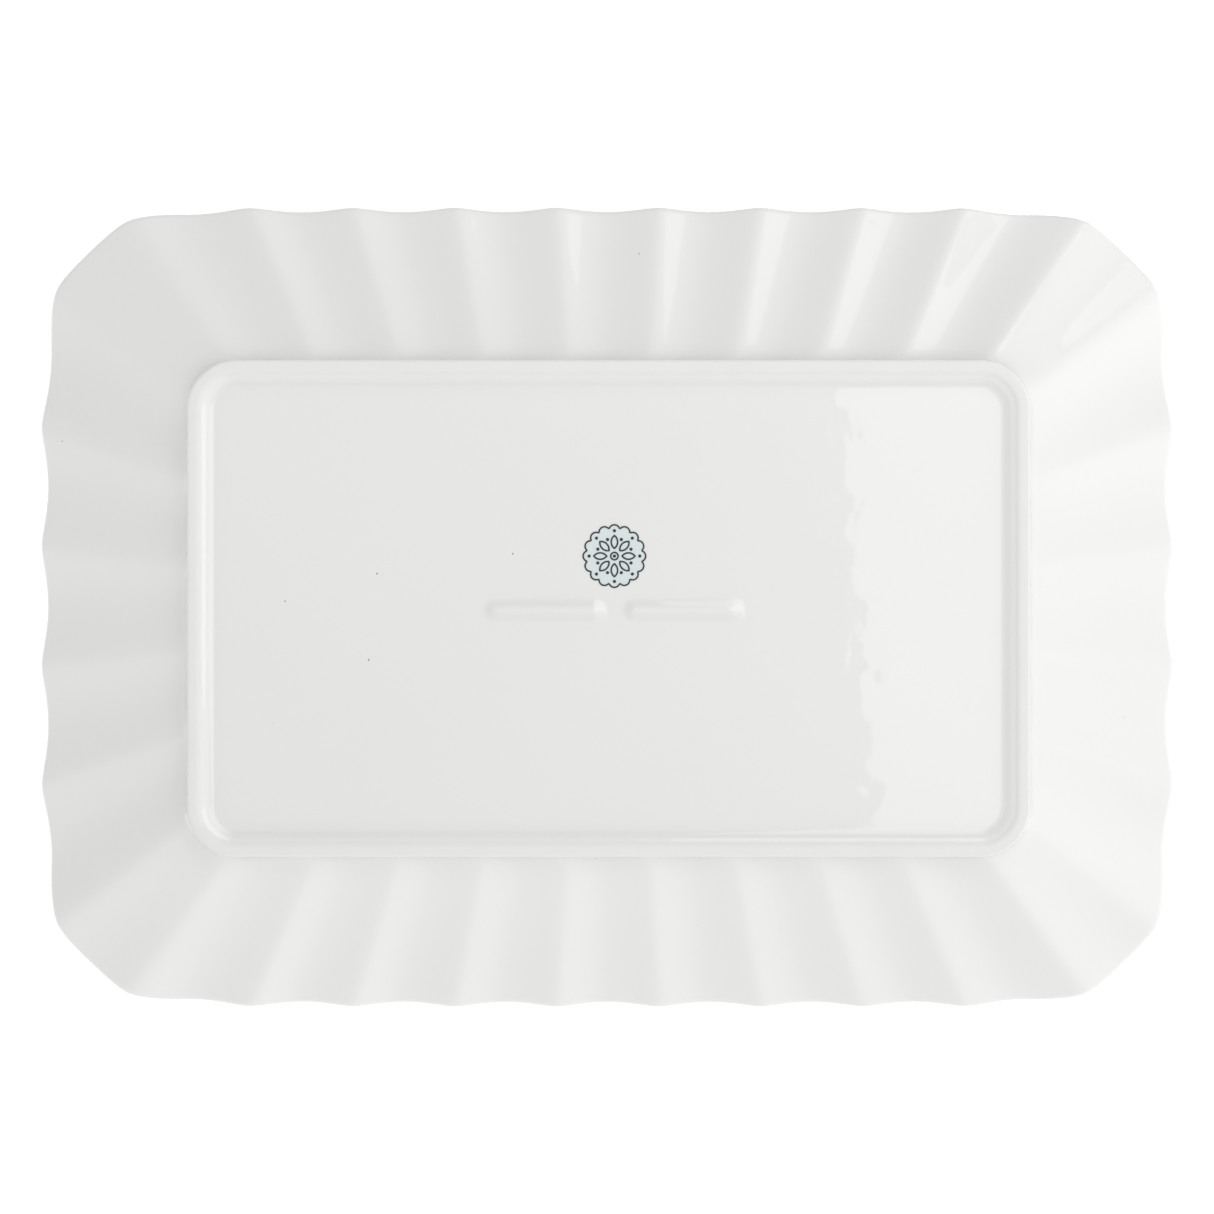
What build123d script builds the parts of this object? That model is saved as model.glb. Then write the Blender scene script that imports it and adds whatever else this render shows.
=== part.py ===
# China serving platter: a rectangular porcelain dish with a wide fluted flange, standing on a
# raised foot ring, with two support bars and a printed mark under the base.
# Millimetres. +X is the length, +Z is up, the origin is the middle of the foot's flat land.
from build123d import *
from math import atan, cos, pi, radians, sin, sqrt, tan
import os

# ---------------------------------------------------------------- driving dimensions
length = 360.0              # over the lip, along X
width = 254.0               # over the lip, along Y
height = 38.0               # from the foot to the highest waves of the lip
wall = 4.5                  # finished thickness everywhere, glaze included
glaze = 0.3                 # thickness of the glaze coats
rim_corner_radius = 46.0    # plan radius of the crest line at the lip's corners

foot_length = 262.0         # over the outer edge of the foot's land, along X
foot_width = 154.2          # the same along Y
foot_corner_radius = 15.3   # of the land's outer edge
foot_land = 3.2             # width of the flat bare band that the dish stands on
foot_edge_radius = 0.6      # rounding of the land's outer edge
foot_inner_radius = 2.6     # rounding of its inner edge, into the slope
foot_height = 2.5           # from the land up to the glazed base panel
foot_slope_run = 4.0        # plan width of the foot's sloped inner side
foot_hollow = 1.5           # run of the hollow from that slope into the base panel
foot_wall_height = 3.2      # from the land up to the flange, at a flute's ridge

flutes_long = 9             # scoops along each long side, between the corner ridges
flutes_short = 5            # scoops along each short side
scoop_radius = 45.0         # section radius of every scoop
ridge_softness = 0.3        # rounding of the ridges, as a share of the scoop's depth
rim_end_stretch = 1.22      # the scoops beside the corners are this much wider, at the rim
foot_end_stretch = 1.04     # and at the foot
rim_turn_long = 24.3        # degrees of the corner arc taken by the long side's last scoop
rim_turn_short = 26.8       # and by the short side's last scoop
foot_turn_long = 10.0       # the same two angles at the foot
foot_turn_short = 19.7
flange_flare = 7.0          # degrees that the flange flattens from the foot to the lip

floor_fillet = 9.0          # plan run of the hollow on the well's floor, inside the foot's loop
floor_fillet_up = 3.6       # plan run of the same hollow up the flange
foot_fillet = 4.5           # plan run of the hollow between the foot and the flange

bar_length = 36.6           # each of the two support bars under the base, at their foot
bar_width = 6.4
bar_height = 1.1            # that the bars stand proud of the base panel
bar_gap = 6.6               # between the bars' ends
bar_place = (1.8, 0.6)      # middle of the gap, from the middle of the base
bar_taper = 60.0            # degrees that the bars' sides lean
bar_radius = 0.9            # of the bars' rounded crests and of the hollows at their foot
bar_root = 2.0              # how deep the bars reach into the base, as one piece with it

mark_radius = 10.0          # over the printed mark's scalloped border
mark_place = (1.9, -16.3)   # its middle, from the middle of the base
ground_film = 0.06          # thickness of the tinted ground
ink_film = 0.10             # thickness of the printed lines
ink_line = 0.50             # width of the printed lines
mark_scallops = 16
mark_petals = 8
petal_length = 4.6
petal_width = 2.5
petal_start = 2.1           # from the mark's middle to a petal's tip
dot_radius = 0.5
dot_ring_radius = 7.9       # the outer ring of dots; the inner one is half a petal further in
centre_radius = 1.4

# ---------------------------------------------------------------- sampling of the surfaces
points_per_flute = 10
flange_rings = 9            # sections of a loft along the flange
fillet_rings = 5
lip_rings = 8
edge_rings = 3
glaze_start = -30.0         # degrees round the foot's outer edge where the glaze begins
glaze_start_height = 0.7    # height up the foot's inner slope where the other coat begins
step = 1e-3                 # for differences, as a share of the flange or of a flute
settling_rounds = 6         # of the flange's section and the lip

# ---------------------------------------------------------------- what follows from them
lip_radius = wall / 2
quarter_flutes = (flutes_long + flutes_short + 2) // 2
flute_count = 4 * quarter_flutes
floor_z = foot_height + wall


def rounded_point(half_x, half_y, radius, run):
    # Point of a rounded rectangle's first quarter, a run along it from the long side's middle.
    straight = half_x - radius
    arc = radius * pi / 2
    if run <= straight:
        return (run, half_y)
    if run <= straight + arc:
        turn = (run - straight) / radius
        return (straight + radius * sin(turn), half_y - radius + radius * cos(turn))
    return (half_x, half_y - radius - (run - straight - arc))


def ridge_runs(half_x, half_y, radius, turn_long, turn_short, stretch):
    # Runs from the long side's middle to each ridge of a quarter: equal scoops along a side,
    # the last one wider, then one scoop round the corner, then the short side's.
    total = half_x - radius + radius * pi / 2 + half_y - radius
    long_run = half_x - radius + radius * radians(turn_long)
    short_run = half_y - radius + radius * radians(turn_short)
    long_pitch = 2 * long_run / (flutes_long - 2 + 2 * stretch)
    short_pitch = 2 * short_run / (flutes_short - 2 + 2 * stretch)
    long_ridges = [(k + 0.5) * long_pitch for k in range((flutes_long - 1) // 2)]
    short_ridges = [total - (k + 0.5) * short_pitch for k in range((flutes_short - 1) // 2)]
    corner_ridges = [long_run, total - short_run]
    first = -long_ridges[0]
    last = 2 * total - short_ridges[0]
    return [first] + long_ridges + corner_ridges + short_ridges[::-1] + [last]


class Loop:
    # A rounded rectangle divided into flutes: place() and pitch() take a flute count from 0
    # to flute_count, whole at each scoop's middle and half-way at each ridge.
    def __init__(self, half_x, half_y, radius, turn_long, turn_short, stretch):
        self.size = (half_x, half_y, radius)
        self.runs = ridge_runs(half_x, half_y, radius, turn_long, turn_short, stretch)

    def fold(self, flute):
        # Every quarter mirrors the first.
        flute = flute % flute_count
        quarter = int(flute // quarter_flutes)
        inside = flute - quarter * quarter_flutes
        if quarter % 2:
            inside = quarter_flutes - inside
        return inside, (1, 1, -1, -1)[quarter], (1, -1, -1, 1)[quarter]

    def place(self, flute):
        inside, sign_x, sign_y = self.fold(flute)
        k = min(int(inside + 0.5), len(self.runs) - 2)
        share = inside + 0.5 - k
        run = self.runs[k] + share * (self.runs[k + 1] - self.runs[k])
        x, y = rounded_point(*self.size, run)
        return Vector(sign_x * x, sign_y * y, 0)

    def pitch(self, flute):
        inside, _, _ = self.fold(flute)
        k = min(int(inside + 0.5), len(self.runs) - 2)
        return self.runs[k + 1] - self.runs[k]


def scoop_depth(pitch):
    return pitch * pitch / (8 * scoop_radius)


def scoop_shape(flute):
    # 0 on a ridge, 1 in the middle of a scoop, with the ridge rounded.
    soft = ridge_softness
    return (sqrt(cos(pi * flute) ** 2 + soft * soft) - soft) / (sqrt(1 + soft * soft) - soft)


foot_size = (foot_length / 2, foot_width / 2, foot_corner_radius)
foot_loop = Loop(*foot_size, foot_turn_long, foot_turn_short, foot_end_stretch)


def flange_section(s):
    # Plan share and height of the flange's underside, s from 0 at the foot to 1 at the lip.
    angle = start_angle + s * (end_angle - start_angle)
    share = (sin(angle) - sin(start_angle)) / (sin(end_angle) - sin(start_angle))
    rise = (cos(angle) - cos(start_angle)) / (cos(end_angle) - cos(start_angle))
    return share, foot_wall_height + rise * flange_rise


def flange_base(s, flute):
    # The flange's underside without its scoops: ridge lines run straight from foot to lip.
    share, z = flange_section(s)
    plan = foot_loop.place(flute) * (1 - share) + rim_loop.place(flute) * share
    return Vector(plan.X, plan.Y, z)


def flange_frame(s, flute):
    # Unit vectors at a point of the flange: out of the underside, and up the slope.
    up_slope = (flange_base(s + step, flute) - flange_base(s - step, flute)).normalized()
    along = flange_base(s, flute + step) - flange_base(s, flute - step)
    normal = along.cross(up_slope).normalized()
    if normal.Z > 0:
        normal = normal * -1
    return normal, up_slope


def flange_scoop(s, flute, normal):
    # The scoops are pressed straight up at the foot and square to the wall at the lip.
    share, _ = flange_section(s)
    pitch = foot_loop.pitch(flute) * (1 - share) + rim_loop.pitch(flute) * share
    direction = (Vector(0, 0, -1) * (1 - s) + normal * s).normalized()
    return direction * (-scoop_depth(pitch) * scoop_shape(flute))


def flange_point(s, flute, inward):
    # A point of the flange's wall, inward of the finished underside.
    normal, _ = flange_frame(s, flute)
    return flange_base(s, flute) + flange_scoop(s, flute, normal) - normal * inward


def lip_point(angle, flute, radius):
    # The lip's rounded edge: angle 0 is the underside's end and 180 the food side's.
    normal, up_slope = flange_frame(1.0, flute)
    centre = flange_point(1.0, flute, lip_radius)
    turn = radians(angle)
    return centre + normal * (radius * cos(turn)) + up_slope * (radius * sin(turn))


def lip_height():
    # Of the lip's highest wave.
    return lip_radius + max(flange_point(1.0, f, lip_radius).Z for f in range(quarter_flutes + 1))


# The flange's section is an arc that starts over the foot's outer edge and ends at the lip.
# Its rise and the lip's inset depend on its slope there, so they are settled in a few rounds.
flange_run = (length - foot_length) / 2
flange_rise = height - foot_wall_height - 2 * wall
rim_inset = 0.0
for _ in range(settling_rounds):
    chord_angle = atan(flange_rise / (flange_run - rim_inset))
    start_angle = chord_angle + radians(flange_flare) / 2
    end_angle = chord_angle - radians(flange_flare) / 2
    rim_inset = lip_radius * (1 - sin(end_angle))
    rim_loop = Loop(length / 2 - rim_inset, width / 2 - rim_inset, rim_corner_radius,
                    rim_turn_long, rim_turn_short, rim_end_stretch)
    flange_rise += height - lip_height()


def foot_offset_point(outward, z, flute):
    # A point at a plan distance outside the land's outer edge, level round the foot.
    half_x, half_y, radius = foot_size
    loop = Loop(half_x + outward, half_y + outward, radius + outward,
                foot_turn_long, foot_turn_short, foot_end_stretch)
    plan = loop.place(flute)
    return Vector(plan.X, plan.Y, z)


def bezier(a, b, c, u):
    return a * (1 - u) ** 2 + b * (2 * u * (1 - u)) + c * u ** 2


def spaced(count, first=0.0, last=1.0):
    return [first + (last - first) * k / (count - 1) for k in range(count)]


# ---------------------------------------------------------------- rings of the lofts
flute_marks = [k / points_per_flute for k in range(flute_count * points_per_flute)]
knots = [float(k) for k in range(len(flute_marks) + 1)]


def ring(points):
    return Wire([Edge.make_spline(points, periodic=True, parameters=knots)])


def level_ring(outward, z):
    return ring([foot_offset_point(outward, z, f) for f in flute_marks])


def edge_ring(angle, grown):
    # On the rounding of the land's outer edge: -90 lies in the land, 0 is the upright wall.
    reach = foot_edge_radius + grown
    outward = -foot_edge_radius + reach * cos(radians(angle))
    return level_ring(outward, foot_edge_radius + reach * sin(radians(angle)))


foot_end_s = foot_fillet / flange_run
floor_end_s = floor_fillet_up / flange_run


def foot_fillet_rings(grown):
    # From the foot's upright wall, hollow, into the flange's underside.
    rings = []
    for u in spaced(fillet_rings + 1)[1:-1]:
        points = []
        for f in flute_marks:
            start = foot_offset_point(grown, foot_edge_radius, f)
            corner = flange_point(0.0, f, 0.0)
            corner = Vector(start.X, start.Y, corner.Z - grown + glaze)
            end = flange_point(foot_end_s, f, glaze - grown)
            points.append(bezier(start, corner, end, u))
        rings.append(ring(points))
    return rings


def floor_fillet_rings(inward, z):
    # From the flange's food side, hollow, down to the well's level floor.
    rings = []
    for u in spaced(fillet_rings + 1)[1:]:
        points = []
        for f in flute_marks:
            high = flange_point(floor_end_s, f, inward)
            lower = flange_point(floor_end_s - step, f, inward)
            slope = (high - lower).normalized()
            corner = high - slope * ((high.Z - z) / slope.Z)
            floor = foot_offset_point(-floor_fillet, z, f)
            points.append(bezier(high, corner, floor, u))
        rings.append(ring(points))
    return rings


def shell_rings(grown):
    # Every ring from the foot's edge, under the flange, round the lip and down to the floor.
    # grown is 0 on the fired body and the glaze's thickness on the finished surface.
    under = glaze - grown
    inside = wall - under
    rings = [edge_ring(a, grown) for a in spaced(edge_rings, glaze_start, 0.0)]
    rings += foot_fillet_rings(grown)
    for s in spaced(flange_rings, foot_end_s, 1.0):
        rings.append(ring([flange_point(s, f, under) for f in flute_marks]))
    for angle in spaced(lip_rings + 1, 0.0, 180.0)[1:-1]:
        rings.append(ring([lip_point(angle, f, lip_radius - under) for f in flute_marks]))
    for s in spaced(flange_rings, 1.0, floor_end_s):
        rings.append(ring([flange_point(s, f, inside) for f in flute_marks]))
    rings += floor_fillet_rings(inside, floor_z - under)
    return rings


def skin(rings):
    return Shell.make_loft(rings).faces()


def closed(faces):
    return Solid(Shell(faces))


# ---------------------------------------------------------------- the foot's inner side
body_panel = foot_height + glaze
slope_angle = atan(body_panel / foot_slope_run)


def slope_point(z, grown):
    # On the foot's inner slope, as the plan distance outside the land's outer edge and height.
    outward = -foot_land - z / tan(slope_angle)
    return outward - grown * sin(slope_angle), z - grown * cos(slope_angle)


def inner_edge_rings():
    # The rounding from the bare land into the slope, up to where the glaze begins.
    start = -foot_land + foot_inner_radius * tan(slope_angle / 2)
    rings = []
    for turn in spaced(edge_rings, 0.0, slope_angle):
        outward = start - foot_inner_radius * sin(turn)
        rings.append(level_ring(outward, foot_inner_radius * (1 - cos(turn))))
    return rings + [level_ring(*slope_point(glaze_start_height, 0.0))]


def inner_rings(grown):
    # The slope above the glaze's start, and the hollow into the base panel.
    panel = body_panel - grown
    corner = -foot_land - foot_slope_run - grown * tan(slope_angle / 2)
    hollow_start = (corner + foot_hollow * cos(slope_angle),
                    panel - foot_hollow * sin(slope_angle))
    points = [slope_point(glaze_start_height, grown), hollow_start]
    for u in spaced(fillet_rings + 1)[1:]:
        points.append(tuple(bezier(a, b, c, u) for a, b, c in
                            zip(hollow_start, (corner, panel), (corner - foot_hollow, panel))))
    return [level_ring(outward, z) for outward, z in points]


# ---------------------------------------------------------------- support bars
def bar_relief(grown, slab):
    # Both bars under a slab of the base: the fired ones, or grown by the glaze's thickness.
    # The slab reaches a bar's width past them, so that their hollows have room in it.
    panel = body_panel - grown
    lean = radians(bar_taper)
    spread = grown * (1 / cos(lean) - tan(lean))
    half_x = bar_gap / 2 + bar_length + bar_width
    half_y = 1.5 * bar_width
    relief = extrude(Plane.XY.offset(panel) * Pos(*bar_place) * Rectangle(2 * half_x, 2 * half_y), slab)
    outline = SlotOverall(bar_length + 2 * spread, bar_width + 2 * spread)
    for side in (-1, 1):
        place = Pos(bar_place[0] + side * (bar_gap + bar_length) / 2, bar_place[1], panel)
        blank = extrude(place * outline, -bar_height, taper=bar_taper)
        crest = blank.edges().group_by(Axis.Z)[0]
        relief += fillet(crest, bar_radius + grown)
    level = relief.edges().filter_by_position(Axis.Z, panel - step, panel + step)
    foot = [e for e in level if abs(e.center().X - bar_place[0]) < half_x - bar_width / 2
            and abs(e.center().Y - bar_place[1]) < half_y - bar_width / 2]
    return fillet(foot, bar_radius - grown)


# ---------------------------------------------------------------- the fired body
def make_body():
    outer = shell_rings(0.0)
    outer_edge = [edge_ring(a, 0.0) for a in spaced(edge_rings, -90.0, glaze_start)]
    inner = inner_rings(0.0)
    inner_edge = inner_edge_rings()
    faces = skin(outer_edge) + skin(outer) + skin(inner_edge) + skin(inner)
    land = Face(outer_edge[0], [inner_edge[0]])
    faces += [land, Face(outer[-1]), Face(inner[-1])]
    return closed(faces) + bar_relief(0.0, bar_root)


# ---------------------------------------------------------------- the glaze coats
def coat(inside, outside):
    faces = skin(inside) + skin(outside) + skin([inside[0], outside[0]])
    faces += [Face(inside[-1]), Face(outside[-1])]
    return closed(faces)


def make_base_glaze():
    plain = coat(inner_rings(0.0), inner_rings(glaze))
    return plain + bar_relief(glaze, glaze) - bar_relief(0.0, bar_root)


# ---------------------------------------------------------------- the printed mark
def on_mark(sketch, top, film):
    # A film of a sketch under the base, hanging down from a level.
    return extrude(Plane.XY.offset(top - film) * Pos(*mark_place) * sketch, film)


def around(count, radius, shape, first=0.0):
    # The shape repeated round the mark's middle, each one turned to face outwards.
    return [Rot(0, 0, first + k * 360 / count) * Pos(radius, 0) * shape for k in range(count)]


def mark_outline():
    lobe = mark_radius * sin(pi / mark_scallops)
    outline = Circle(mark_radius - lobe)
    for scallop in around(mark_scallops, mark_radius - lobe, Circle(lobe)):
        outline += scallop
    return outline


def petal():
    # A pointed oval with its long axis outwards: two equal arcs through its tips.
    half, rise = petal_length / 2, petal_width / 2
    upper = ThreePointArc((-half, 0), (0, rise), (half, 0))
    lower = ThreePointArc((half, 0), (0, -rise), (-half, 0))
    return make_face(upper + lower)


def make_mark():
    ground_low = foot_height - ground_film
    outline = mark_outline()
    border = outline - offset(outline, -ink_line)
    leaf = petal() - offset(petal(), -ink_line)
    leaves = around(mark_petals, petal_start + petal_length / 2, leaf)
    dots = around(mark_petals, dot_ring_radius, Circle(dot_radius))
    dots += around(mark_petals, dot_ring_radius - petal_length / 2, Circle(dot_radius),
                   180 / mark_petals)
    centre = [Circle(centre_radius) - Circle(centre_radius - ink_line), Circle(ink_line)]
    films = {"mark_ground": on_mark(outline, foot_height, ground_film),
             "mark_border": on_mark(border, ground_low, ink_film)}
    for name, shapes in (("mark_petals", leaves), ("mark_dots", dots), ("mark_centre", centre)):
        films[name] = Compound([on_mark(shape, ground_low, ink_film) for shape in shapes])
    return films


# ---------------------------------------------------------------- write the sub-parts
parts = {"porcelain_body": make_body(),
         "outer_glaze": coat(shell_rings(0.0), shell_rings(glaze)),
         "base_glaze": make_base_glaze()}
parts.update(make_mark())

os.makedirs("parts", exist_ok=True)
for name, solid in parts.items():
    export_step(solid, f"parts/{name}.step")
    print(name, round(solid.volume, 2), solid.is_valid, solid.bounding_box().size)
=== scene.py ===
import math
import bmesh
import bpy
import numpy as np
from mathutils import Matrix, Vector


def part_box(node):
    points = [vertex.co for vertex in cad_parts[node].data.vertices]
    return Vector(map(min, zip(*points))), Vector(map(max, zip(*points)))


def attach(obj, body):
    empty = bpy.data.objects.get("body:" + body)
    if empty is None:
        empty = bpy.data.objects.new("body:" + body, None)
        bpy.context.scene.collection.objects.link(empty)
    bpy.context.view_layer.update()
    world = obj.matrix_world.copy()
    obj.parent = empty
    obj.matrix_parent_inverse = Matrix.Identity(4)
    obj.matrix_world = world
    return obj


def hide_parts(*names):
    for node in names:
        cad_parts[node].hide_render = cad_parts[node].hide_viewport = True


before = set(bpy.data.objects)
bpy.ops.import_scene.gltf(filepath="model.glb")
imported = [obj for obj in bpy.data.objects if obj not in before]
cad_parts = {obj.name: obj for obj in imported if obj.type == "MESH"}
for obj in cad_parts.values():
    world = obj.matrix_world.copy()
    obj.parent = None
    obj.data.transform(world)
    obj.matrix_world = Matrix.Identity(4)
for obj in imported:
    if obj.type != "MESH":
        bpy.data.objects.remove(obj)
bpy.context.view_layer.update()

# A fluted porcelain serving platter that stands on its foot ring. Sizes are in millimetres
# and turn into metres when a mesh is made.
mm = 0.001
tiny = 1e-3                         # step for differences, as a share of the flange or a flute


def boxSize(node):
    low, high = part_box(node)
    return (np.array(high) - np.array(low)) / mm


dishSize = boxSize("outer_glaze")
dish = {
    "length": dishSize[0],          # over the lip
    "width": dishSize[1],
    "height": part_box("outer_glaze")[1].z / mm,
    "wall": 4.5,                    # finished thickness
    "glaze": 0.3,                   # thickness of a coat
    "rimCorner": 46.0,              # plan radius of the crest line at the corners
    "flare": 7.0,                   # degrees that the flange flattens towards the lip
    "floorFillet": 9.0,             # run of the hollow on the well's floor
    "floorFilletUp": 3.6,           # and up the flange
}
foot = {
    "length": 262.0,                # over the land's outer edge
    "width": 154.2,
    "corner": 15.3,
    "land": 3.2,                    # width of the bare band
    "edge": 0.6,                    # rounding of the land's outer edge
    "innerEdge": 2.6,               # rounding of its inner edge, into the slope
    "height": 2.5,                  # from the land to the base panel
    "slopeRun": 4.0,                # run of the inner slope
    "hollow": 1.5,                  # run of the hollow into the base panel
    "wallHeight": 3.2,              # up to the flange at a ridge
    "fillet": 4.5,                  # run of the hollow into the flange
    "glazeStart": 0.7,              # height up the inner slope where the coat begins
    "glazeTurn": -30.0,             # degrees round the outer edge where the other begins
}
flutes = {
    "long": 9,                      # scoops on a long side
    "short": 5,
    "radius": 45.0,                 # section radius of a scoop
    "soft": 0.3,                    # rounding of the ridges, as a share of the depth
    "rimStretch": 1.22,             # how much wider the scoops beside the corners are
    "footStretch": 1.04,
    "rimTurns": (24.3, 26.8),       # degrees of the corner arc that the end scoops take
    "footTurns": (10.0, 19.7),
    "columns": 16,                  # mesh columns in one flute
    "crowding": 0.55,               # how much closer the columns stand at a ridge
}

quarter = (flutes["long"] + flutes["short"] + 2) // 2
fluteCount = 4 * quarter
lipRadius = dish["wall"] / 2
floorZ = foot["height"] + dish["wall"]
panelZ = foot["height"] + dish["glaze"]
slopeAngle = math.atan(panelZ / foot["slopeRun"])


def ridgeRuns(size, turns, stretch):
    # Distances from a long side's middle to the ridges of one quarter: equal scoops on each
    # side, the last one stretched, and one scoop round the corner between them.
    halfX, halfY, radius = size
    total = halfX + halfY - 2 * radius + radius * math.pi / 2
    longRun = halfX - radius + radius * math.radians(turns[0])
    shortRun = halfY - radius + radius * math.radians(turns[1])
    longPitch = 2 * longRun / (flutes["long"] - 2 + 2 * stretch)
    shortPitch = 2 * shortRun / (flutes["short"] - 2 + 2 * stretch)
    longRidges = [(k + 0.5) * longPitch for k in range((flutes["long"] - 1) // 2)]
    shortRidges = [total - (k + 0.5) * shortPitch for k in range((flutes["short"] - 1) // 2)]
    inner = longRidges + [longRun, total - shortRun] + shortRidges[::-1]
    return np.array([-longRidges[0]] + inner + [2 * total - shortRidges[0]])


def foldFlute(flute):
    # A flute count from 0 to fluteCount as its place in the first quarter, and the signs
    # that mirror it back.
    flute = np.mod(flute, fluteCount)
    part = np.floor(flute / quarter).astype(int)
    inside = flute - part * quarter
    inside = np.where(part % 2 == 1, quarter - inside, inside)
    return inside, np.array([1, 1, -1, -1])[part], np.array([1, -1, -1, 1])[part]


def loopPlace(size, runs, flute):
    # Points of a rounded rectangle: straight, arc and straight, by the run along them.
    halfX, halfY, radius = size
    inside, signX, signY = foldFlute(flute)
    run = np.interp(inside + 0.5, np.arange(len(runs)), runs)
    straight = halfX - radius
    turn = np.clip((run - straight) / radius, 0, math.pi / 2)
    rest = np.clip(run - straight - radius * math.pi / 2, 0, None)
    x = np.minimum(run, straight) + radius * np.sin(turn)
    y = halfY - radius + radius * np.cos(turn) - rest
    return np.stack([signX * x, signY * y], axis=-1)


def loopPitch(runs, flute):
    # The run from the ridge before to the ridge after.
    inside, _, _ = foldFlute(flute)
    k = np.minimum((inside + 0.5).astype(int), len(runs) - 2)
    return runs[k + 1] - runs[k]


def scoopDepth(pitch):
    # The height of an arc: its chord squared over eight radii.
    return pitch ** 2 / (8 * flutes["radius"])


def scoopShape(flute):
    # A row of arches, 1 in the middle of a scoop and 0 on a ridge, with the ridge rounded.
    soft = flutes["soft"]
    arch = np.sqrt(np.cos(np.pi * flute) ** 2 + soft ** 2) - soft
    return arch / (math.sqrt(1 + soft ** 2) - soft)


footSize = (foot["length"] / 2, foot["width"] / 2, foot["corner"])
footRuns = ridgeRuns(footSize, flutes["footTurns"], flutes["footStretch"])
flange = {}                         # filled by settleFlange


def flangeBase(s, flute):
    # The flange's underside without scoops: plan points go straight from the foot's loop to
    # the lip's loop, and the section is an arc.
    start, end = flange["start"], flange["end"]
    angle = start + s * (end - start)
    share = (math.sin(angle) - math.sin(start)) / (math.sin(end) - math.sin(start))
    rise = (math.cos(angle) - math.cos(start)) / (math.cos(end) - math.cos(start))
    footPlan = loopPlace(footSize, footRuns, flute)
    rimPlan = loopPlace(flange["rim"], flange["rimRuns"], flute)
    plan = footPlan * (1 - share) + rimPlan * share
    z = np.full(len(flute), foot["wallHeight"] + rise * flange["rise"])
    return np.column_stack([plan, z]), share


def unit(v):
    return v / np.linalg.norm(v, axis=-1, keepdims=True)


def flangeFrame(s, flute):
    # Unit vectors out of the underside and up the slope, from differences of the base.
    upSlope = unit(flangeBase(s + tiny, flute)[0] - flangeBase(s - tiny, flute)[0])
    along = flangeBase(s, flute + tiny)[0] - flangeBase(s, flute - tiny)[0]
    normal = unit(np.cross(along, upSlope))
    return np.where(normal[:, 2:] > 0, -normal, normal), upSlope


def flangeRow(s, flute, inward):
    # The base, moved by the scoops (straight up at the foot, square to the wall at the lip)
    # and then inward through the wall.
    base, share = flangeBase(s, flute)
    normal, _ = flangeFrame(s, flute)
    pitch = loopPitch(footRuns, flute) * (1 - share) + loopPitch(flange["rimRuns"], flute) * share
    push = unit(np.array([0, 0, -1.0]) * (1 - s) + normal * s)
    return base - push * (scoopDepth(pitch) * scoopShape(flute))[:, None] - normal * inward


def lipRow(turn, flute, radius):
    # Half a circle round the wall's middle line, from the underside to the food side.
    normal, upSlope = flangeFrame(1.0, flute)
    centre = flangeRow(1.0, flute, lipRadius)
    return centre + normal * radius * math.cos(turn) + upSlope * radius * math.sin(turn)


def settleFlange():
    # The flange's rise and the lip's inset depend on the slope at the lip, so they are settled
    # together: each round measures the lip's highest wave and corrects the rise.
    run = (dish["length"] - foot["length"]) / 2
    flange["rise"] = dish["height"] - foot["wallHeight"] - 2 * dish["wall"]
    inset = 0.0
    for _ in range(6):
        chord = math.atan(flange["rise"] / (run - inset))
        flange["start"] = chord + math.radians(dish["flare"]) / 2
        flange["end"] = chord - math.radians(dish["flare"]) / 2
        inset = lipRadius * (1 - math.sin(flange["end"]))
        flange["rim"] = (dish["length"] / 2 - inset, dish["width"] / 2 - inset, dish["rimCorner"])
        flange["rimRuns"] = ridgeRuns(flange["rim"], flutes["rimTurns"], flutes["rimStretch"])
        scoops = flangeRow(1.0, np.arange(quarter + 1.0), lipRadius)
        flange["rise"] += dish["height"] - lipRadius - scoops[:, 2].max()


settleFlange()


def levelRow(outward, z, flute):
    # A level loop at a plan distance outside the land's outer edge.
    size = tuple(v + outward for v in footSize)
    runs = ridgeRuns(size, flutes["footTurns"], flutes["footStretch"])
    plan = loopPlace(size, runs, flute)
    return np.column_stack([plan, np.full(len(flute), z)])


def bezier(a, b, c, u):
    # A curve from a to c that sets out and arrives along the lines to b.
    return a * (1 - u) ** 2 + b * (2 * u * (1 - u)) + c * u ** 2


def edgeRow(turn, grown, flute):
    # A row on the rounding of the land's outer edge: -90 degrees on the land, 0 on the wall.
    reach = foot["edge"] + grown
    outward = -foot["edge"] + reach * math.cos(turn)
    return levelRow(outward, foot["edge"] + reach * math.sin(turn), flute)


def edgeTurns(fine):
    # The angles round the foot's outer edge, from where the coat begins up to level.
    return np.linspace(math.radians(foot["glazeTurn"]), 0, 2 + 4 * fine)


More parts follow.
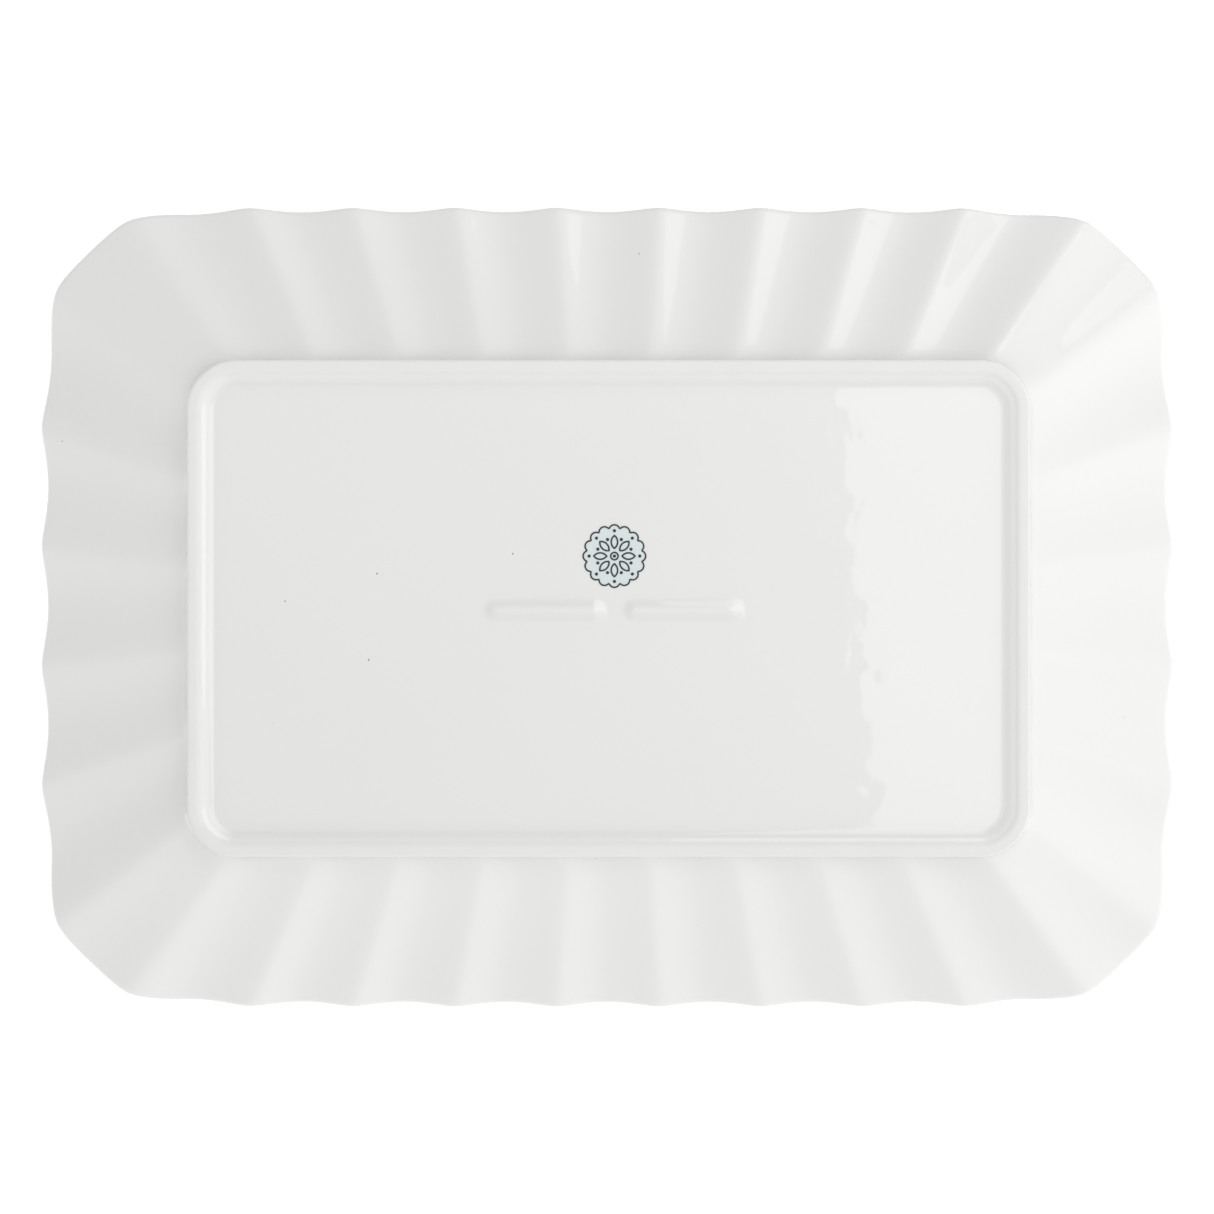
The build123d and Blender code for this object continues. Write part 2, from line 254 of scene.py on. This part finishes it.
def shellRows(grown, flute, fine):
    # Rows from the foot's outer edge, under the flange, round the lip and down to the well's
    # floor. grown is 0 on the fired body and the coat's thickness on the finished surface.
    under = dish["glaze"] - grown
    inside = dish["wall"] - under
    run = (dish["length"] - foot["length"]) / 2
    footEnd = foot["fillet"] / run
    floorEnd = dish["floorFilletUp"] / run
    rows = [edgeRow(t, grown, flute) for t in edgeTurns(fine)]
    start = levelRow(grown, foot["edge"], flute)
    corner = np.column_stack([start[:, :2], flangeRow(0.0, flute, 0.0)[:, 2] + under])
    end = flangeRow(footEnd, flute, under)
    rows += [bezier(start, corner, end, u) for u in np.linspace(0, 1, 4 + 4 * fine)[1:-1]]
    rows += [flangeRow(s, flute, under) for s in np.linspace(footEnd, 1, 6 + 12 * fine)]
    lipTurns = np.linspace(0, math.pi, 7 + 6 * fine)[1:-1]
    rows += [lipRow(t, flute, lipRadius - under) for t in lipTurns]
    rows += [flangeRow(s, flute, inside) for s in np.linspace(1, floorEnd, 6 + 12 * fine)]
    high = rows[-1]
    slope = unit(high - flangeRow(floorEnd - tiny, flute, inside))
    level = floorZ - under
    corner = high - slope * ((high[:, 2] - level) / slope[:, 2])[:, None]
    floor = levelRow(-dish["floorFillet"], level, flute)
    rows += [bezier(high, corner, floor, u) for u in np.linspace(0, 1, 5 + 5 * fine)[1:]]
    return rows


def slopePoint(z, grown):
    # Where the foot's inner slope is at a height, moved out square to the slope.
    outward = -foot["land"] - z / math.tan(slopeAngle)
    return outward - grown * math.sin(slopeAngle), z - grown * math.cos(slopeAngle)


def innerRows(grown, flute, fine):
    # The foot's inner slope above the coat's start, and the hollow into the base panel.
    panel = panelZ - grown
    cornerRun = -foot["land"] - foot["slopeRun"] - grown * math.tan(slopeAngle / 2)
    corner = np.array([cornerRun, panel])
    first = np.array(slopePoint(foot["glazeStart"], grown))
    start = corner + foot["hollow"] * np.array([math.cos(slopeAngle), -math.sin(slopeAngle)])
    end = np.array([cornerRun - foot["hollow"], panel])
    points = [first + (start - first) * u for u in np.linspace(0, 1, 2 + 6 * fine)]
    points += [bezier(start, corner, end, u) for u in np.linspace(0, 1, 5 + 5 * fine)[1:]]
    return [levelRow(outward, z, flute) for outward, z in points]


lineEnds = 30.0                     # mm of a loop at each end that head for the line's end


def closingRows(loop, line, count, power):
    # Rows that close a level loop on to a line in its middle: each point heads for the
    # nearest place on the line, and the rows crowd together towards it.
    middle, half = line
    stretch = half / (np.abs(loop[:, 0]).max() - lineEnds)
    along = np.clip((loop[:, 0] - middle[0]) * stretch, -half, half) + middle[0]
    target = np.column_stack([along, np.full(len(loop), middle[1]), loop[:, 2]])
    shares = (1 - np.linspace(0, 1, count + 1)[1:]) ** power
    return [target + (loop - target) * s for s in shares]


# The mesh columns, as flute counts: they stand closer together at the ridges.
fluteMarks = np.arange(fluteCount * flutes["columns"]) / flutes["columns"]
fluteMarks = fluteMarks + flutes["crowding"] * np.sin(2 * np.pi * fluteMarks) / (2 * np.pi)


mergeDistance = 0.002               # mm
sharpAngle = 70.0                   # degrees between faces that keep an edge crisp


def meshFromRows(name, rows, material, poolAndShadeValues=None):
    # A grid that closes round its columns. Points that meet at either end are merged.
    grid = np.array(rows) * mm
    rowCount, columnCount = grid.shape[:2]
    index = np.arange(rowCount * columnCount).reshape(rowCount, columnCount)
    turned = np.roll(index, -1, axis=1)
    quads = np.stack([index[:-1], turned[:-1], turned[1:], index[1:]], axis=-1).reshape(-1, 4)
    mesh = bpy.data.meshes.new(name)
    mesh.vertices.add(rowCount * columnCount)
    mesh.vertices.foreach_set("co", grid.ravel())
    mesh.loops.add(quads.size)
    mesh.loops.foreach_set("vertex_index", quads.ravel())
    mesh.polygons.add(len(quads))
    mesh.polygons.foreach_set("loop_start", np.arange(0, quads.size, 4))
    mesh.update(calc_edges=True)
    # Per-point share of grey: thicker glaze plus painted shade in the hollows.
    if poolAndShadeValues is not None:
        layer = mesh.attributes.new("poolAndShade", "FLOAT", "POINT")
        layer.data.foreach_set("value", np.array(poolAndShadeValues, np.float32).ravel())
    work = bmesh.new()
    work.from_mesh(mesh)
    bmesh.ops.remove_doubles(work, verts=work.verts, dist=mergeDistance * mm)
    bmesh.ops.recalc_face_normals(work, faces=work.faces)
    for face in work.faces:
        face.smooth = True
    for edge in work.edges:
        edge.smooth = edge.calc_face_angle(0.0) < math.radians(sharpAngle)
    work.to_mesh(mesh)
    work.free()
    mesh.materials.append(material)
    piece = bpy.data.objects.new(name, mesh)
    bpy.context.collection.objects.link(piece)
    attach(piece, "root")
    print(name, len(mesh.vertices), "points", len(mesh.polygons), "faces")
    return piece


def linearColour(text, alpha=1.0):
    # An sRGB hex colour as linear values.
    parts = [int(text[i:i + 2], 16) / 255 for i in (1, 3, 5)]
    return [c / 12.92 if c <= 0.04045 else ((c + 0.055) / 1.055) ** 2.4 for c in parts] + [alpha]


def addNode(tree, kind, settings=None, links=None):
    # A node with its settings, and its inputs set to values or linked to sockets.
    node = tree.nodes.new(kind)
    for key, value in (settings or {}).items():
        setattr(node, key, value)
    for key, value in (links or {}).items():
        if isinstance(value, bpy.types.NodeSocket):
            tree.links.new(value, node.inputs[key])
        else:
            node.inputs[key].default_value = value
    return node


def newMaterial(name):
    material = bpy.data.materials.new(name)
    material.use_nodes = True
    tree = material.node_tree
    return material, tree, tree.nodes["Principled BSDF"]


# Glazed hard-paste porcelain, fired at about 1400 degrees: a very white body under a clear
# glossy glaze that lies slightly wavy, gathers grey in hollows with painted shade, and has rare
# pinholes.
glazeLook = {
    "white": "#F6F6F4",
    "shade": "#F3F3F1",             # slow drift of the tone over a hand's width
    "pooledAndShaded": "#E9EBEA",            # thicker glaze in a hollow, darkened further as painted shade
    "speck": "#5E564C",
    "bodyRoughness": 0.42,
    "coatRoughness": 0.025,
    "waveLength": 11.0,             # mm between the glaze's slow waves
    "waveHeight": 0.06,             # mm
    "rippleLength": 2.6,            # mm, the fine orange peel
    "rippleHeight": 0.0035,
    "speckSpacing": 14.0,           # mm
    "speckRadius": 0.25,
    "speckRare": 0.55,              # the share of the places that stay clear
    "driftLength": 90.0,            # mm
}


def glazedPorcelain():
    look = glazeLook
    material, tree, shader = newMaterial("glazedHardPastePorcelain")
    place = addNode(tree, "ShaderNodeTexCoord").outputs["Object"]
    drift = addNode(tree, "ShaderNodeTexNoise", None,
                    {"Vector": place, "Scale": 1 / (look["driftLength"] * mm), "Detail": 2.0,
                     "Roughness": 0.5})
    tone = addNode(tree, "ShaderNodeMix", {"data_type": "RGBA"},
                   {"Factor": drift.outputs["Fac"], 6: linearColour(look["white"]),
                    7: linearColour(look["shade"])})
    # The hollows' grey is thicker glaze plus painted shade where the foot, the scoops and the
    # bars would lie in shade.
    poolAndShade = addNode(tree, "ShaderNodeAttribute", {"attribute_name": "poolAndShade"})
    pooledAndShaded = addNode(tree, "ShaderNodeMix", {"data_type": "RGBA"},
                     {"Factor": poolAndShade.outputs["Fac"], 6: tone.outputs[2],
                      7: linearColour(look["pooledAndShaded"])})
    cells = addNode(tree, "ShaderNodeTexVoronoi", {"feature": "F1"},
                    {"Vector": place, "Scale": 1 / (look["speckSpacing"] * mm)})
    near = addNode(tree, "ShaderNodeMath", {"operation": "LESS_THAN"},
                   {0: cells.outputs["Distance"], 1: look["speckRadius"] / look["speckSpacing"]})
    split = addNode(tree, "ShaderNodeSeparateColor", None, {"Color": cells.outputs["Color"]})
    rare = addNode(tree, "ShaderNodeMath", {"operation": "GREATER_THAN"},
                   {0: split.outputs["Red"], 1: look["speckRare"]})
    speck = addNode(tree, "ShaderNodeMath", {"operation": "MULTIPLY"},
                    {0: near.outputs[0], 1: rare.outputs[0]})
    colour = addNode(tree, "ShaderNodeMix", {"data_type": "RGBA"},
                     {"Factor": speck.outputs[0], 6: pooledAndShaded.outputs[2],
                      7: linearColour(look["speck"])})
    tree.links.new(colour.outputs[2], shader.inputs["Base Color"])
    wave = addNode(tree, "ShaderNodeTexNoise", None,
                   {"Vector": place, "Scale": 1 / (look["waveLength"] * mm), "Detail": 1.5})
    ripple = addNode(tree, "ShaderNodeTexNoise", None,
                     {"Vector": place, "Scale": 1 / (look["rippleLength"] * mm), "Detail": 1.0})
    waveBump = addNode(tree, "ShaderNodeBump", None,
                       {"Height": wave.outputs["Fac"], "Distance": look["waveHeight"] * mm})
    glazeBump = addNode(tree, "ShaderNodeBump", None,
                        {"Height": ripple.outputs["Fac"], "Distance": look["rippleHeight"] * mm,
                         "Normal": waveBump.outputs["Normal"]})
    tree.links.new(glazeBump.outputs["Normal"], shader.inputs["Coat Normal"])
    shader.inputs["Roughness"].default_value = look["bodyRoughness"]
    shader.inputs["IOR"].default_value = 1.5
    shader.inputs["Coat Weight"].default_value = 1.0
    shader.inputs["Coat Roughness"].default_value = look["coatRoughness"]
    shader.inputs["Coat IOR"].default_value = 1.5
    return material


# Biscuit porcelain, the foot's land wiped bare before firing: matte, dry and faintly warm,
# with a fine sandy grain.
biscuitLook = {
    "white": "#F4F4F2",
    "worn": "#F0F0EE",
    "stain": 12.0,                  # mm across a patch
    "grain": 0.5,                   # mm
    "grainHeight": 0.02,
    "roughness": 0.85,
}


def barePorcelain():
    look = biscuitLook
    material, tree, shader = newMaterial("bareBiscuitPorcelain")
    place = addNode(tree, "ShaderNodeTexCoord").outputs["Object"]
    stain = addNode(tree, "ShaderNodeTexNoise", None,
                    {"Vector": place, "Scale": 1 / (look["stain"] * mm), "Detail": 4.0})
    colour = addNode(tree, "ShaderNodeMix", {"data_type": "RGBA"},
                     {"Factor": stain.outputs["Fac"], 6: linearColour(look["white"]),
                      7: linearColour(look["worn"])})
    grain = addNode(tree, "ShaderNodeTexNoise", None,
                    {"Vector": place, "Scale": 1 / (look["grain"] * mm), "Detail": 3.0})
    bump = addNode(tree, "ShaderNodeBump", None,
                   {"Height": grain.outputs["Fac"], "Distance": look["grainHeight"] * mm})
    tree.links.new(colour.outputs[2], shader.inputs["Base Color"])
    tree.links.new(bump.outputs["Normal"], shader.inputs["Normal"])
    shader.inputs["Roughness"].default_value = look["roughness"]
    return material


# Ceramic transfer print, fired into the glaze: a dark green-black pigment that lies a little
# uneven, and a faint tinted flux round it.
printLook = {
    "ink": "#12302B",
    "thinInk": "#2C4C45",
    "flux": "#E4EEF0",
    "fluxEdge": "#EDF3F4",
    "patch": 0.8,                   # mm across an uneven patch
    "roughness": 0.3,
    "coatRoughness": 0.04,
}


def transferPrint(name, dark, pale, unevenness):
    material, tree, shader = newMaterial(name)
    place = addNode(tree, "ShaderNodeTexCoord").outputs["Object"]
    patches = addNode(tree, "ShaderNodeTexNoise", None,
                      {"Vector": place, "Scale": 1 / (printLook["patch"] * mm), "Detail": 3.0})
    share = addNode(tree, "ShaderNodeMapRange", None,
                    {"Value": patches.outputs["Fac"], "From Min": 0.45, "From Max": 0.75,
                     "To Max": unevenness})
    colour = addNode(tree, "ShaderNodeMix", {"data_type": "RGBA"},
                     {"Factor": share.outputs["Result"], 6: linearColour(dark),
                      7: linearColour(pale)})
    tree.links.new(colour.outputs[2], shader.inputs["Base Color"])
    shader.inputs["Roughness"].default_value = printLook["roughness"]
    shader.inputs["Coat Weight"].default_value = 1.0
    shader.inputs["Coat Roughness"].default_value = printLook["coatRoughness"]
    return material


glazed = glazedPorcelain()
biscuit = barePorcelain()
ink = transferPrint("ceramicInkPrint", printLook["ink"], printLook["thinInk"], 0.5)
flux = transferPrint("tintedFluxPrint", printLook["flux"], printLook["fluxEdge"], 1.0)
print("finishes ready")

# The fired body. The well's floor closes on to a line: its middle and half its length.
wellLine = ((0.0, 0.0), 60.0)
coveredRows = 4                     # rows that close the body's flat faces, under the coats


def makeBody():
    outer = shellRows(0.0, fluteMarks, 0)
    inner = innerRows(0.0, fluteMarks, 0)
    radius = foot["innerEdge"]
    start = -foot["land"] + radius * math.tan(slopeAngle / 2)
    rounding = [levelRow(start - radius * math.sin(t), radius * (1 - math.cos(t)), fluteMarks)
                for t in np.linspace(0, slopeAngle, 6)]
    edge = [edgeRow(t, 0.0, fluteMarks)
            for t in np.linspace(-math.pi / 2, math.radians(foot["glazeTurn"]), 5)[:-1]]
    under = closingRows(inner[-1], wellLine, coveredRows, 1.0)
    above = closingRows(outer[-1], wellLine, coveredRows, 1.0)
    rows = under[::-1] + inner[::-1] + rounding[::-1] + edge + outer + above
    body = meshFromRows("firedBody", rows, biscuit)
    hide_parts("porcelain_body")


# The coats of glaze, and the two bars that stand on the base panel.
bars = {
    "length": 36.6, "width": 6.4, "height": 1.1, "gap": 6.6,
    "place": (1.8, 0.6),            # middle of the gap
    "crest": 0.3,                   # half width of the crest's flat
    "skirt": 4.0,                   # half width where the soft foot ends
    "poolAndShade": 0.4,                    # glaze gathered along that foot, with painted shade there
    "margin": 3.0,                  # of the line that the panel closes on to, past the bars
}
coats = {
    "firstShare": 0.1,              # where the swelling of a coat's edge begins, of 1
    "outerStart": 9,                # rows that the outer coat's edge takes to swell
    "baseStart": 8,
    "footPoolAndShade": 0.75,               # glaze gathered, with painted shade, where the flange meets the foot
    "footPoolAndShadeHeight": 2.2,          # mm over which it fades
    "ridgePoolAndShade": 0.4,               # the share of it that stays at a ridge
    "hollowPoolAndShade": 0.6,              # glaze gathered, with painted shade, in the hollow inside the foot
    "hollowRow": 6,                 # rows from the panel to its deepest place
    "hollowRows": 2.5,              # rows over which it fades
    "panelRows": 56,                # fine enough for the bars
    "panelCrowding": 2.2,           # how strongly those rows gather at the bars
    "wellRows": 8,
    "insideRows": 3,                # rows that close a coat's flat face against the body
}


def barFall(points):
    # How far a point is down the side of the nearer bar: 0 on its crest, 1 beyond its foot.
    # Each bar runs along a line, and the fall grows with the distance from it.
    fall = np.ones(len(points))
    for side in (-1, 1):
        middle = bars["place"][0] + side * (bars["gap"] + bars["length"]) / 2
        beyond = np.abs(points[:, 0] - middle) - (bars["length"] - bars["width"]) / 2
        away = np.hypot(np.clip(beyond, 0, None), points[:, 1] - bars["place"][1])
        fall = np.minimum(fall, (away - bars["crest"]) / (bars["skirt"] - bars["crest"]))
    return np.clip(fall, 0, 1)


def smoothRise(t):
    # From 0 to 1, flat at both ends: three squares less two cubes.
    return t * t * (3 - 2 * t)


def feathered(inside, outside):
    # The coat swells from nothing to its full thickness over its first rows, so that it
    # leaves the bare foot without a step.
    shares = smoothRise(np.linspace(coats["firstShare"], 1, len(inside)))
    return [low + (high - low) * share for low, high, share in zip(inside, outside, shares)]


def makeOuterCoat():
    inside = shellRows(0.0, fluteMarks, 0)
    outside = shellRows(dish["glaze"], fluteMarks, 1)
    start = shellRows(0.0, fluteMarks, 1)[:coats["outerStart"]]
    rows = closingRows(inside[-1], wellLine, coats["insideRows"], 1.0)[::-1] + inside[::-1]
    rows += feathered(start, outside[:len(start)]) + outside[len(start):]
    rows += closingRows(outside[-1], wellLine, coats["wellRows"], 1.0)
    # Grey at the foot's hollow: thicker glaze plus painted shade.
    poolAndShadeValues = poolAndShadeShares(rows)
    coat = meshFromRows("outerGlazeCoat", rows, glazed, poolAndShadeValues)
    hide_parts("outer_glaze")


def poolAndShadeShares(rows):
    # Glaze gathers in the hollows at the foot, and painted shade darkens them: most where the
    # flange meets it and in the middle of a scoop, fading within a few millimetres.
    inScoop = coats["ridgePoolAndShade"] + (1 - coats["ridgePoolAndShade"]) * scoopShape(fluteMarks)
    away = [np.abs(row[:, 2] - foot["wallHeight"]) for row in rows]
    return [coats["footPoolAndShade"] * np.exp(-d / coats["footPoolAndShadeHeight"]) * inScoop for d in away]


def makeBaseCoat():
    line = (bars["place"], bars["gap"] / 2 + bars["length"] + bars["margin"])
    inside = innerRows(0.0, fluteMarks, 0)
    outside = innerRows(dish["glaze"], fluteMarks, 1)
    start = innerRows(0.0, fluteMarks, 1)[:coats["baseStart"]]
    rows = closingRows(inside[-1], line, coats["insideRows"], 1.0)[::-1] + inside[::-1]
    rows += feathered(start, outside[:len(start)]) + outside[len(start):]
    panel = closingRows(outside[-1], line, coats["panelRows"], coats["panelCrowding"])
    falls = [barFall(row) for row in panel]
    for row, fall in zip(panel, falls):
        row[:, 2] -= bars["height"] * (1 - smoothRise(fall))
    # Grey in the hollow inside the foot and along the bars' skirts: thicker glaze plus painted
    # shade.
    poolAndShadeValues = [np.zeros(len(row)) for row in rows]
    for k in range(len(rows) - len(outside), len(rows)):
        away = abs(len(rows) - coats["hollowRow"] - k)
        poolAndShadeValues[k] += coats["hollowPoolAndShade"] * math.exp(-away / coats["hollowRows"])
    poolAndShadeValues += [bars["poolAndShade"] * np.sin(np.pi * fall) for fall in falls]
    coat = meshFromRows("baseGlazeCoat", rows + panel, glazed, poolAndShadeValues)
    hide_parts("base_glaze")


def dressMark():
    for name in ("mark_border", "mark_petals", "mark_dots", "mark_centre"):
        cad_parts[name].data.materials.clear()
        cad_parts[name].data.materials.append(ink)
    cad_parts["mark_ground"].data.materials.clear()
    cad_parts["mark_ground"].data.materials.append(flux)


makeBody()
makeOuterCoat()
makeBaseCoat()
dressMark()
print("platter ready")

# The studio: a room that is brightest to the sides, a wide softbox whose edge shows in the
# glaze of the base, a strip that glints along the flutes, and lamps over the food side.
studio = {
    "distance": 1350.0,             # mm from the lens to the rim's plane
    "rimShare": 0.9308,             # of the picture's width that the rim spans
    "rimDrop": 6.0,                 # mm from the lip's highest wave to that plane
    "sensor": 36.0,                 # mm
    "farthest": 20.0,               # metres that the lens sees
    "lensOffset": (-19.0, -20.0),   # mm from the dish's middle
    "paper": 1.05,                  # the white backdrop that the lens sees
    "tableColour": "#ECECEA",
    "tableRoughness": 0.7,
    "tableHalf": 3000.0,
    "tableGap": 0.15,               # keeps the table top clear of the foot
}
sky = {
    "even": 0.335,
    # what is added towards a direction, falling off with its cosine
    (1, 0, 0): 0.67,
    (-1, 0, 0): 0.47,
    (0, 1, 0): 0.47,
    (0, -1, 0): 0.06,
    (0, 0, 1): 0.30,
}
lamps = {
    # name: place, aim and the height's direction, width and height in mm, radiance
    "softbox": ((743, -626, -1250), (743, -626, 0), (-0.084, -0.996, 0), (1250, 1500), 1.38),
    "strip": ((925, -1400, -795), (925, 0, -795), (-0.418, 0, 0.909), (460, 630), 1.0),
    "keyAbove": ((700, -500, 1300), (0, 0, 0), (0, 1, 0), (900, 900), 2.4),
    "fillAbove": ((-900, 300, 900), (0, 0, 0), (0, 1, 0), (900, 900), 0.8),
}


def turnTo(thing, place, aim, up):
    # The thing's own -Z goes along its aim, and its Y as near to up as it can.
    back = (Vector(place) - Vector(aim)).normalized()
    tall = Vector(up) - back * back.dot(Vector(up))
    tall.normalize()
    thing.matrix_world = Matrix.Translation(Vector(place) * mm) @ Matrix(
        (tall.cross(back), tall, back)).transposed().to_4x4()


def makeLamps():
    for name, (place, aim, up, size, radiance) in lamps.items():
        light = bpy.data.lights.new(name, "AREA")
        light.shape = "RECTANGLE"
        light.size, light.size_y = size[0] * mm, size[1] * mm
        light.energy = radiance * math.pi * light.size * light.size_y
        lamp = bpy.data.objects.new(name, light)
        bpy.context.collection.objects.link(lamp)
        turnTo(lamp, place, aim, up)
        lamp.visible_camera = False


def makeSky():
    # White paper behind the dish for the lens, and the room's light for the dish itself.
    world = bpy.data.worlds.new("studioSky")
    bpy.context.scene.world = world
    world.use_nodes = True
    tree = world.node_tree
    tree.nodes.clear()
    towards = addNode(tree, "ShaderNodeTexCoord").outputs["Generated"]
    strength = sky["even"]
    for direction, share in sky.items():
        if direction == "even":
            continue
        along = addNode(tree, "ShaderNodeVectorMath", {"operation": "DOT_PRODUCT"},
                        {0: towards, 1: direction})
        lit = addNode(tree, "ShaderNodeMath", {"operation": "MAXIMUM"},
                      {0: along.outputs["Value"], 1: 0.0})
        strength = addNode(tree, "ShaderNodeMath", {"operation": "MULTIPLY_ADD"},
                           {0: lit.outputs[0], 1: share, 2: strength}).outputs[0]
    room = addNode(tree, "ShaderNodeBackground", None, {"Strength": strength})
    paper = addNode(tree, "ShaderNodeBackground", None, {"Strength": studio["paper"]})
    for background in (room, paper):
        background.inputs["Color"].default_value = (1, 1, 1, 1)
    path = addNode(tree, "ShaderNodeLightPath")
    mix = addNode(tree, "ShaderNodeMixShader", None,
                  {0: path.outputs["Is Camera Ray"], 1: room.outputs[0], 2: paper.outputs[0]})
    addNode(tree, "ShaderNodeOutputWorld", None, {"Surface": mix.outputs[0]})


def makeTable():
    # A pale table top under the foot. It is see-through from below and lets light by, so the
    # underside can be looked at.
    material = bpy.data.materials.new("paleTable")
    material.use_nodes = True
    tree = material.node_tree
    shader = tree.nodes["Principled BSDF"]
    shader.inputs["Base Color"].default_value = linearColour(studio["tableColour"])
    shader.inputs["Roughness"].default_value = studio["tableRoughness"]
    side = addNode(tree, "ShaderNodeNewGeometry")
    clear = addNode(tree, "ShaderNodeBsdfTransparent")
    mix = addNode(tree, "ShaderNodeMixShader", None,
                  {0: side.outputs["Backfacing"], 1: shader.outputs[0], 2: clear.outputs[0]})
    tree.links.new(mix.outputs[0], tree.nodes["Material Output"].inputs["Surface"])
    half = studio["tableHalf"] * mm
    z = -studio["tableGap"] * mm
    mesh = bpy.data.meshes.new("paleTable")
    mesh.from_pydata([(-half, -half, z), (half, -half, z), (half, half, z), (-half, half, z)],
                     [], [(0, 1, 2, 3)])
    mesh.materials.append(material)
    table = bpy.data.objects.new("paleTable", mesh)
    bpy.context.collection.objects.link(table)
    for ray in ("visible_diffuse", "visible_glossy", "visible_transmission", "visible_shadow"):
        setattr(table, ray, False)


def makeCamera():
    # Below the dish and a touch off its middle, looking straight up, with +X to the right of
    # the picture. The lens is shifted so that the rim stays in the middle.
    data = bpy.data.cameras.new("lens")
    camera = bpy.data.objects.new("lens", data)
    bpy.context.collection.objects.link(camera)
    rimZ = dish["height"] - studio["rimDrop"]
    pictureWidth = dish["length"] / studio["rimShare"]
    data.sensor_width = studio["sensor"]
    data.lens = data.sensor_width * studio["distance"] / pictureWidth
    data.clip_end = studio["farthest"]
    across, along = studio["lensOffset"]
    turnTo(camera, (across, along, rimZ - studio["distance"]), (across, along, rimZ), (0, -1, 0))
    data.shift_x = -across / pictureWidth
    data.shift_y = along / pictureWidth
    bpy.context.scene.camera = camera


makeLamps()
makeSky()
makeTable()
makeCamera()
bpy.context.scene.view_settings.view_transform = "Standard"
print("studio ready")
